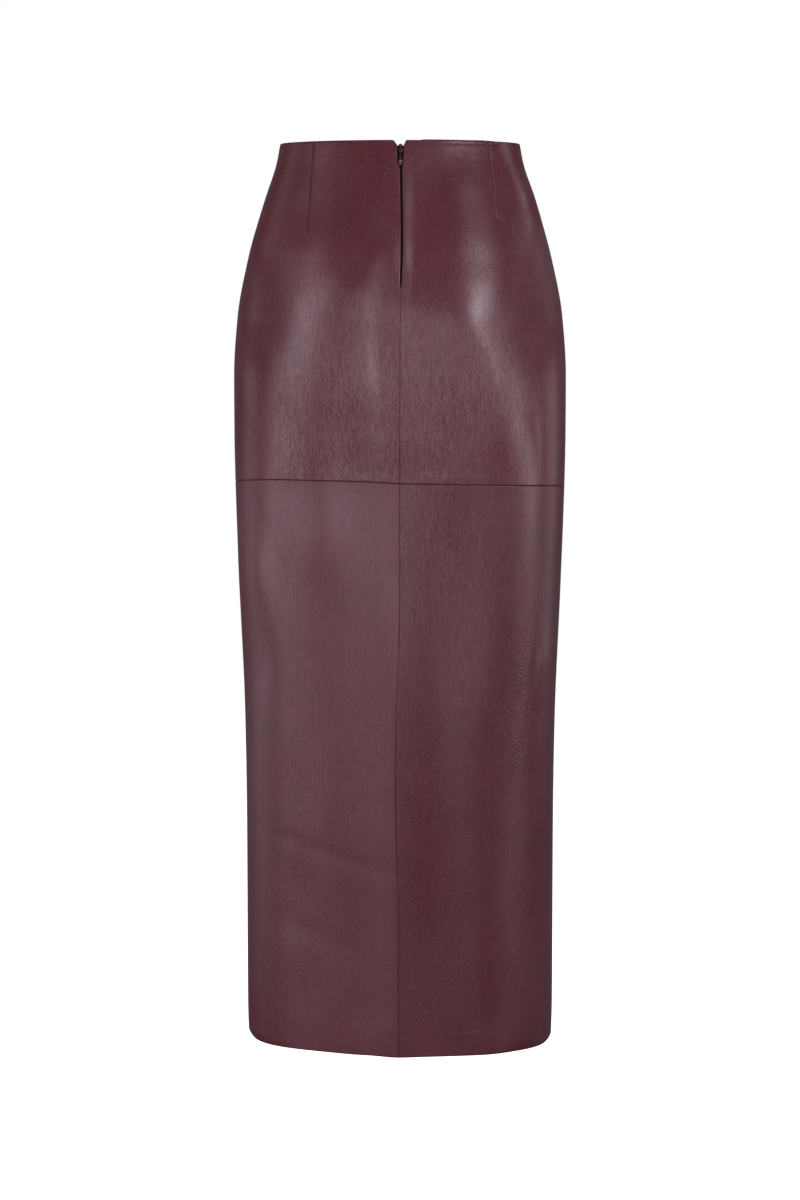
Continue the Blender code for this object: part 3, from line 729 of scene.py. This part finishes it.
def facing_top(turn):
    """The facing's top edge, a little low but for the stretch that shows at the right of the zip."""
    x = section(turn, 0 * turn)[0]
    rise, full, fall, end = FACING_PEEK_ENDS
    shown = smooth_step(rise, full, x) * (1 - smooth_step(fall, end, x)) * (np.cos(turn) > 0)
    return FACING_PEEK * shown - FACING_SINK


def strip(name, grid, inset, thickness, roll, material):
    """A strip that lies so far inside the skirt's surface, with its edges rounded over."""
    turn, height, distances = grid
    drop = sum(rolled(d, roll, roll) for d in distances)
    outer, inner = (skirt_points(turn, height, depth) for depth in (inset + drop, inset + thickness - drop))
    return shell(name, outer, inner, material)


def facing(name, node, start, end):
    """A strip of leather inside the waist, shaped like the panel that it lies against."""
    grid = panel_grid(start, end, facing_top, always(FACING_BOTTOM), edges=FACING_EDGE_STEPS)
    made = strip(name, grid, FACING_INSET, FACING_THICKNESS, FACING_ROLL, skin_upper)
    _, height, distances = grid
    to_end = np.minimum(distances[START], distances[END])
    # Painted shade darkens the facing towards its ends; none is painted in clefts.
    paint(made, coarse=FACING_COARSE + 0 * height, glaze=1 + 0 * height, cleft=0 * height,
          seam=np.exp(-to_end / FACING_SHADE_REACH))
    return dress(made, "skirt", node)


def beside_centre(offset):
    """A line that far across from centre back, as a function of height."""
    return lambda height: centre_across(height) + offset


for side, word in SIDES:
    edges = back_edges(side, beside_centre(side * FACING_START))
    lined = facing(f"waist_facing_{word}", f"facing_back_{word}", *edges)

lined = facing("waist_facing_front", "facing_front", right_side, left_side)


# ----------
# The stitches at the waist, in dark polyester thread. One row holds the rolled edge down at the right of
# the zip, in short upright stitches, and a shorter one at the left. Understitching runs along the facings
# inside.

STITCH_PITCH = 0.0026
STITCH_SINK = 0.00004
# A stitch: how long along its row, across it, and out of the leather.
UPRIGHT_STITCH = (0.0006, 0.0015, 0.00034)
RUNNING_STITCH = (0.0019, 0.00036, 0.0003)
# Edge rows: where each starts and ends across, and its height.
EDGE_ROWS = (
    ("edge_stitches_right", 0.031, 0.083, -0.0019),
    ("edge_stitches_left", -0.086, -0.056, -0.0021),
)
UNDERSTITCH_HEIGHT = -0.003
UNDERSTITCH_SAMPLES = 90
UNDERSTITCH_MARGIN = 0.02
WAIST_RADIUS = 0.1
ROW_SAMPLE = 0.002


def path_on_skirt(name, turns, heights, inset):
    """A line of edges so far inside the skirt's surface. Each point keeps the level way out from there."""
    points = skirt_points(turns, heights, inset)
    made = mesh_object(name, points.tolist(), [(i, i + 1) for i in range(len(points) - 1)], [])
    _, _, out_x, out_y = section(turns, heights)
    outs = np.stack((out_x, out_y, 0 * heights), axis=-1)
    ways = made.data.attributes.new("out", "FLOAT_VECTOR", "POINT")
    ways.data.foreach_set("vector", outs.ravel().astype(np.float32))
    return made


def baked(made):
    """A plain smooth mesh object of the same name, with the modifiers applied and gone."""
    bpy.context.view_layer.update()
    mesh = bpy.data.meshes.new_from_object(made.evaluated_get(bpy.context.evaluated_depsgraph_get()))
    mesh.shade_smooth()
    name = made.name
    made.modifiers.clear()
    bpy.data.objects.remove(made)
    return add_object(name, mesh)


class Growing(Tree):
    """A Geometry Nodes tree with named inputs, which are set by their sockets' identifiers."""

    def __init__(self, name, **inputs):
        super().__init__(bpy.data.node_groups.new(name, "GeometryNodeTree"))
        sockets = self.tree.interface
        for way in ("OUTPUT", "INPUT"):
            sockets.new_socket("Geometry", in_out=way, socket_type="NodeSocketGeometry")
        self.identifiers = {
            label: sockets.new_socket(label, in_out="INPUT", socket_type="NodeSocket" + kind).identifier
            for label, kind in inputs.items()
        }
        node = self.tree.nodes.new("NodeGroupInput")
        self.given = Wire(self, node.outputs[0])
        self.inputs = {label: Wire(self, node.outputs[n + 1]) for n, label in enumerate(inputs)}

    def along(self, step):
        """The given edges as a curve, with a point at each step."""
        path = self.add("GeometryNodeMeshToCurve", {"Mesh": self.given})
        return self.add("GeometryNodeResampleCurve", {"Curve": path, "Length": step}, mode="LENGTH")

    def end(self, made):
        """Closes the tree: instances become real, and take the given material."""
        real = self.add("GeometryNodeRealizeInstances", {0: made})
        skin = self.add("GeometryNodeSetMaterial", {"Geometry": real, "Material": self.inputs["Material"]})
        self.tree.links.new(skin.socket, self.tree.nodes.new("NodeGroupOutput").inputs[0])

    def grow(self, base, **values):
        """Runs the tree on an object, and bakes the result."""
        modifier = base.modifiers.new("grow", "NODES")
        modifier.node_group = self.tree
        for label, value in values.items():
            modifier[self.identifiers[label]] = value
        return baked(base)


# Stitches along a path, each a grain of thread of a given size along, across and out of the leather.
stitches = Growing("stitches", Pitch="Float", Size="Vector", Material="Material")
out = stitches.add("GeometryNodeInputNamedAttribute", {"Name": "out"}, data_type="FLOAT_VECTOR")
upright = stitches.add("FunctionNodeAlignRotationToVector", {"Vector": out}, axis="Z")
along = {"Rotation": upright, "Vector": stitches.add("GeometryNodeInputTangent")}
turned = stitches.add("FunctionNodeAlignRotationToVector", along, axis="X", pivot_axis="Z")
grain = stitches.add("GeometryNodeMeshUVSphere", {"Segments": 6, "Rings": 5, "Radius": 0.5})
stitches.end(stitches.add("GeometryNodeInstanceOnPoints", {
    "Points": stitches.along(stitches.inputs["Pitch"]), "Instance": grain, "Rotation": turned,
    "Scale": stitches.inputs["Size"]}))

# Twisted polyester sewing thread, with fine ridges across it.
twist = Finish("dark_thread", Roughness=0.62, Specular_IOR_Level=0.35)
dark_thread = twist.set(
    Base_Color=twist.mix(twist.noise(2200.0, 1.0), (0.0072, 0.0018, 0.003), (0.012, 0.003, 0.005)),
    Normal=twist.bump(twist.waves(700.0, "DIAGONAL", 1.0), 0.00004))


def sew(name, turns, height, inset, size):
    """A row of stitches at a height, through those turns."""
    path = path_on_skirt(name, turns, height + 0 * turns, inset)
    dress(stitches.grow(path, Pitch=STITCH_PITCH, Size=size, Material=dark_thread), "skirt")


for name, from_across, to_across, height in EDGE_ROWS:
    across = np.arange(from_across, to_across, ROW_SAMPLE)
    sew(name, turn_at(across, height + 0 * across), height, STITCH_SINK, UPRIGHT_STITCH)

for word, first, last in (
    ("right", FACING_START / WAIST_RADIUS, pi / 2),
    ("front", pi / 2, 3 * pi / 2),
    ("left", -pi / 2, -FACING_START / WAIST_RADIUS),
):
    turns = np.linspace(first + UNDERSTITCH_MARGIN, last - UNDERSTITCH_MARGIN, UNDERSTITCH_SAMPLES)
    inset = FACING_INSET + FACING_THICKNESS - STITCH_SINK
    sew(f"understitching_{word}", turns, UNDERSTITCH_HEIGHT, inset, RUNNING_STITCH)


# ----------
# The zip's two tapes, of dark woven polyester, sewn behind the turned edges of the back panels. They meet
# edge to edge behind the gap, and carry the coil on the wearer's side.

TAPE_TOP = -0.006
TAPE_END = -0.168
TAPE_WIDTH = 0.012
TAPE_INSET = TURNED_NAPPA + 0.0001
TAPE_THICKNESS = 0.0005
TAPE_GAP = 0.0002
TAPE_ROLL = 0.0002
TAPE_EDGE_STEPS = (0.0, 0.0001, 0.0002, 0.0006)
RIBS_PER_METRE = 1100.0
PICKS_PER_METRE = 1430.0
WAVE_SCALE = 2 / 6.2832

# Tightly woven polyester: ribs along the tape, crossed by fine picks.
cloth = Finish("zip_tape_cloth", Roughness=0.85, Specular_IOR_Level=0.15, Sheen_Weight=0.05)
weave = cloth.waves(RIBS_PER_METRE * WAVE_SCALE, "X") * cloth.waves(PICKS_PER_METRE * WAVE_SCALE, "Z")
cloth.set(Base_Color=cloth.mix(weave, (0.006, 0.0012, 0.002), (0.02, 0.004, 0.007)),
          Normal=cloth.bump(weave, 0.00012))
for side, word in SIDES:
    near, far = (beside_centre(side * (TAPE_GAP / 2 + width)) for width in (0.0, TAPE_WIDTH))
    grid = panel_grid(*back_edges(side, near, far), always(TAPE_TOP), always(TAPE_END), edges=TAPE_EDGE_STEPS)
    tape = strip(f"zip_tape_{word}_woven", grid, TAPE_INSET, TAPE_THICKNESS, TAPE_ROLL, cloth.material)
    dress(tape, "skirt", f"zip_tape_{word}")


# ----------
# The zip's coil: a nylon filament wound along the inner edge of each tape, the two meshed together below
# the slider. It shows from inside, and between the tapes.

COIL_TOP = -0.0135
COIL_END = -0.155
COIL_PITCH = 0.001
COIL_REACH = 0.0014
COIL_SHIFT = 0.6
COIL_DEPTH = 0.0006
COIL_INSET = TAPE_INSET + TAPE_THICKNESS + COIL_DEPTH + 0.0001
FILAMENT = 0.00022
COIL_POINTS = 8

# A filament wound along a path. Each winding reaches so far across and so deep, on a given side.
coil = Growing("coil", Pitch="Float", Across="Float", Shift="Float", Deep="Float", Filament="Float",
               Material="Material")
even = coil.along(coil.inputs["Pitch"] * (1 / COIL_POINTS))
angle = coil.add("GeometryNodeInputIndex") * (2 * pi / COIL_POINTS)
across = coil.maths("COSINE", angle) * coil.inputs["Across"] + coil.inputs["Shift"]
deep = coil.maths("SINE", angle) * coil.inputs["Deep"]
offset = coil.add("ShaderNodeCombineXYZ", {0: across, 1: deep, 2: 0.0})
wound = coil.add("GeometryNodeSetPosition", {"Geometry": even, "Offset": offset})
circle = {"Resolution": 5, "Radius": coil.inputs["Filament"]}
profile = coil.add("GeometryNodeCurvePrimitiveCircle", circle)
strand = {"Curve": wound, "Profile Curve": profile, "Fill Caps": True}
coil.end(coil.add("GeometryNodeCurveToMesh", strand))

nylon = Finish("dark_nylon", Roughness=0.38)
nylon.set(Base_Color=nylon.mix(nylon.noise(900.0, 1.0), (0.006, 0.003, 0.004), (0.016, 0.008, 0.01)))
heights = np.arange(COIL_TOP, COIL_END, -ROW_SAMPLE)
for side, word in SIDES:
    path = path_on_skirt(f"zip_coil_{word}", turn_at(centre_across(heights), heights), heights, COIL_INSET)
    wound = coil.grow(path, Pitch=COIL_PITCH, Across=COIL_REACH, Shift=side * COIL_REACH * COIL_SHIFT,
                      Deep=side * COIL_DEPTH, Filament=FILAMENT, Material=nylon.material)
    dress(wound, "skirt")


# ----------
# The slider: a small die-cast body in black enamel, closed at the top of the zip, with a crown at its top
# and a bridge that the pull hangs on.

PIVOT = Vector(next(joint["pos_m"] for joint in frame["joints"] if joint["name"] == "pull_swing"))
LEAN_REACH = 0.005
SLIDER_FACE = 0.00085
SLIDER_DEPTH = 0.0024
SLIDER_ROUNDING = 0.00035
SLIDER_POINTS = 28
# Half outlines, seen straight on: how far up from the pivot, and half the width there.
SLIDER_OUTLINE = metres((
    (4, 0.3), (3.7, 0.9), (3, 1.6), (1.8, 2.7), (0.6, 2.9), (-1.6, 2.6), (-3.6, 2.1), (-4.1, 1.5),
))
# The upper half of the bridge's path: how far up from the pivot, and how deep. The lower half mirrors it.
BRIDGE_HALF = metres(((2.4, 1), (2.3, -0.2), (1.7, -0.9), (0.7, -1.1)))
BRIDGE_HALF_WIDTH = 0.00045
BRIDGE_HALF_THICKNESS = 0.00033


def enamel(name, colour, roughness, metallic):
    """Baked enamel on die-cast zinc, a little uneven."""
    coat = Finish(name, Metallic=metallic, Coat_Roughness=0.12, Coat_Weight=0.5)
    uneven = coat.noise(420.0, 2.0)
    base = coat.mix(uneven, tuple(c * 0.75 for c in colour), colour)
    return coat.set(Base_Color=base, Roughness=roughness + 0.1 * uneven, Normal=coat.bump(uneven, 0.00004))


def stand_on_pivot(made):
    """Moves a mesh made about the pull's pivot, with Z up the leather, into its place."""
    above, below = skirt_points(np.zeros(2), PIVOT.z + np.array((LEAN_REACH, -LEAN_REACH)))
    lean = atan2(above[1] - below[1], above[2] - below[2])
    turned = Euler((-lean, 0.0, 0.0)).to_matrix().to_4x4()
    turned.translation = PIVOT
    made.data.transform(turned)
    return made


def smooth_outline(rows, count):
    """Points round a shape that is the same on both sides, given as its half outline."""
    ends = rows[0][0], rows[-1][0]
    along = ends[0] + (ends[1] - ends[0]) * (1 - np.cos(np.linspace(0, pi, count))) / 2
    right = list(zip(curve_through(rows, 1)(along), along))
    return right + [(-w, z) for w, z in reversed(right)]


def closed_mesh(name, points, faces, material):
    """A mesh object with its faces turned outwards."""
    made = mesh_object(name, points, [], faces, material)
    bm = bmesh.new()
    bm.from_mesh(made.data)
    bmesh.ops.recalc_face_normals(bm, faces=bm.faces)
    bm.to_mesh(made.data)
    bm.free()
    return made


def bevelled_plate(name, outline, front, back, width, material):
    """A plate between two depths with its edges rounded over."""
    count = len(outline)
    points = [(x, depth, z) for depth in (front, back) for x, z in outline]
    sides = [(i, (i + 1) % count, count + (i + 1) % count, count + i) for i in range(count)]
    made = closed_mesh(name, points, [range(count), range(count, 2 * count), *sides], material)
    rounding = made.modifiers.new("round", "BEVEL")
    rounding.width = width
    rounding.segments = 3
    rounding.limit_method = "ANGLE"
    rounding.angle_limit = radians(50)
    return baked(made)


def strap(name, path, half_width, half_thickness, material):
    """A flat strap with rounded edges, along a path of height and depth."""
    curve = bpy.data.curves.new(name, "CURVE")
    curve.dimensions = "3D"
    curve.extrude = half_width - half_thickness
    curve.bevel_depth = half_thickness
    curve.bevel_resolution = 2
    curve.use_fill_caps = True
    line = curve.splines.new("NURBS")
    line.points.add(len(path) - 1)
    for point, (z, y) in zip(line.points, path):
        point.co = (0.0, y, z, 1.0)
    line.order_u = 4
    line.use_endpoint_u = True
    line.resolution_u = 4
    curve.materials.append(material)
    return baked(add_object(name, curve))


black = enamel("black_enamel", (0.012, 0.011, 0.012), 0.28, 0.4)
slider_outline = smooth_outline(SLIDER_OUTLINE, SLIDER_POINTS)
slider = bevelled_plate("zip_slider_body", slider_outline, SLIDER_FACE, SLIDER_FACE + SLIDER_DEPTH,
                        SLIDER_ROUNDING, black)
bridge_path = BRIDGE_HALF + [(-z, y) for z, y in reversed(BRIDGE_HALF)]
bridge = strap("zip_bridge", bridge_path, BRIDGE_HALF_WIDTH, BRIDGE_HALF_THICKNESS, black)
with bpy.context.temp_override(active_object=slider, selected_editable_objects=[slider, bridge]):
    bpy.ops.object.join()
dress(stand_on_pivot(slider), "skirt", "zip_slider")


# ----------
# The pull: a drop-shaped tab in burgundy enamel, which hangs in the gap by a slot on the slider's bridge.
# It is the one piece that moves.

# Each by how far up from the pivot: the half outlines of the tab and its slot, and how thick the tab is.
PULL_OUTLINE = metres((
    (0.4, 1.1), (0, 1.5), (-3, 1.6), (-5.2, 0.9), (-9.5, 1.1), (-14, 1.6), (-16.5, 1.5), (-18.2, 0.9),
    (-19, 0.3),
))
PULL_SLOT = metres(((-0.4, 0.3), (-0.6, 0.65), (-3, 0.7), (-3.3, 0.4)))
PULL_THICKNESS = metres(((0.4, 0.8), (-6, 0.7), (-13.5, 1.8), (-19, 0.2)))
PULL_RINGS = 28
PULL_POINTS = 40
PULL_SQUARENESS = 3.5


def drop_tab(name, material):
    """The tab: rings run from its outline over its face to the slot, and back behind."""
    outline, slot = (np.array(smooth_outline(rows, PULL_POINTS)) for rows in (PULL_OUTLINE, PULL_SLOT))
    middle = np.array((0.0, sum(z for z, _ in PULL_SLOT[1:3]) / 2))
    outer_angles, slot_angles = (np.unwrap(np.arctan2(*(line - middle).T[::-1])) for line in (outline, slot))
    closed_angles = np.concatenate([slot_angles + turn for turn in (-2 * pi, 0.0, 2 * pi)])
    order = np.argsort(closed_angles)
    inner = np.stack([
        np.interp(outer_angles, closed_angles[order], np.tile(slot[:, k], 3)[order]) for k in (0, 1)
    ], axis=-1)
    angles = np.linspace(0.0, 2 * pi, PULL_RINGS, endpoint=False)
    out, lift = (np.sign(v) * np.abs(v) ** (2 / PULL_SQUARENESS) for v in (np.cos(angles), np.sin(angles)))
    flat = inner + (outline - inner) * (0.5 + 0.5 * out[:, None, None])
    thick = curve_through(PULL_THICKNESS, 1)(flat[..., 1])
    points = np.stack((flat[..., 0], lift[:, None] * thick / 2, flat[..., 1]), axis=-1)
    index = np.arange(points[..., 0].size).reshape(points.shape[:2])
    ahead = np.roll(index, -1, axis=0)
    faces = np.stack((index, np.roll(index, -1, axis=1), np.roll(ahead, -1, axis=1), ahead), axis=-1)
    return closed_mesh(name, points.reshape(-1, 3).tolist(), faces.reshape(-1, 4).tolist(), material)


burgundy = enamel("burgundy_enamel", (0.21, 0.085, 0.105), 0.14, 1.0)
dress(stand_on_pivot(drop_tab("zip_pull_tab", burgundy)), "zip_pull", "zip_pull")


# ----------
# The studio: a white backdrop and floor, and soft boxes that ring the skirt. The narrow bright ones draw
# the long highlights on its hips, and the wide weak ones keep its sides from going dark. The camera looks
# slightly down.

CAMERA_DISTANCE = 4.1
CAMERA_HEIGHT = -0.2145
CAMERA_TILT = radians(3.665)
CAMERA_LENS = 117.1
LIGHT_TARGET = Vector((0.0, 0.0, -0.45))
LIGHT_DISTANCE = 2.4
LIGHT_COLOUR = (1.0, 0.91, 1.0)
FLOOR_HEIGHT = -1.15
FLOOR_REACH = 7.0
AMBIENT = 0.11

# Lights: degrees round from the camera's side and up, width and height, and how bright the face is.
LIGHTS = (
    ("key_right", 45, 20, 0.6, 1.1, 10.3),
    ("side_right", 75, 0, 0.55, 0.8, 6.8),
    ("key_left", -58, 8, 1.2, 1.9, 4.1),
    ("front", -8, 3, 1.0, 0.8, 5.7),
    ("front_right", 22, 0, 0.8, 1.0, 2.3),
    ("top", 0, 62, 1.6, 0.6, 1.5),
    ("glint", 3, 30, 0.3, 0.2, 5.0),
    ("high_right", 98, 30, 0.6, 0.6, 2.1),
    ("high_left", -98, 30, 0.6, 0.6, 0.9),
    ("back_right", 112, 2, 1.0, 0.8, 1.1),
    ("back_left", -108, -2, 0.9, 1.2, 1.2),
    ("far", 180, 42, 1.8, 0.8, 5.0),
)

lens = bpy.data.cameras.new("camera")
lens.sensor_width = 36.0
lens.lens = CAMERA_LENS
camera = add_object("camera", lens)
camera.location = (0.0, -CAMERA_DISTANCE, CAMERA_HEIGHT)
camera.rotation_euler = (pi / 2 - CAMERA_TILT, 0.0, 0.0)
bpy.context.scene.camera = camera


def soft_box(name, azimuth, elevation, width, tall, radiance):
    """A rectangular light aimed at the skirt's middle."""
    light = bpy.data.lights.new(name, "AREA")
    light.shape = "RECTANGLE"
    light.size = width
    light.size_y = tall
    light.energy = radiance * pi * width * tall
    light.color = LIGHT_COLOUR
    turned, lifted = radians(azimuth), radians(elevation)
    level = cos(lifted)
    toward = Vector((sin(turned) * level, -cos(turned) * level, sin(lifted)))
    made = add_object(name, light)
    made.location = LIGHT_TARGET + toward * LIGHT_DISTANCE
    made.rotation_euler = (-toward).to_track_quat("-Z", "Y").to_euler()


for light in LIGHTS:
    soft_box(*light)

white = (1.0, 1.0, 1.0)
pale = Finish("pale_floor", Base_Color=(0.9, 0.9, 0.9), Roughness=0.9)
pale.set(Emission_Color=white, Emission_Strength=1.0)
corners = [(x * FLOOR_REACH, y * FLOOR_REACH, FLOOR_HEIGHT) for x, y in ((-1, -1), (1, -1), (1, 1), (-1, 1))]
floor = mesh_object("floor", corners, [], [range(4)], pale.material)
floor.visible_glossy = False
floor.visible_diffuse = False

world = bpy.data.worlds.new("studio")
world.use_nodes = True
studio = Tree(world.node_tree)
backdrop = studio.add("ShaderNodeBackground", {"Color": white, "Strength": 1.0})
around = studio.add("ShaderNodeBackground", {"Color": LIGHT_COLOUR, "Strength": AMBIENT})
to_camera = studio.add("ShaderNodeLightPath", output="Is Camera Ray")
sky = studio.add("ShaderNodeMixShader", {0: to_camera, 1: around, 2: backdrop})
studio.plug(world.node_tree.nodes["World Output"].inputs["Surface"], sky)
bpy.context.scene.world = world
bpy.context.scene.view_settings.view_transform = "Standard"
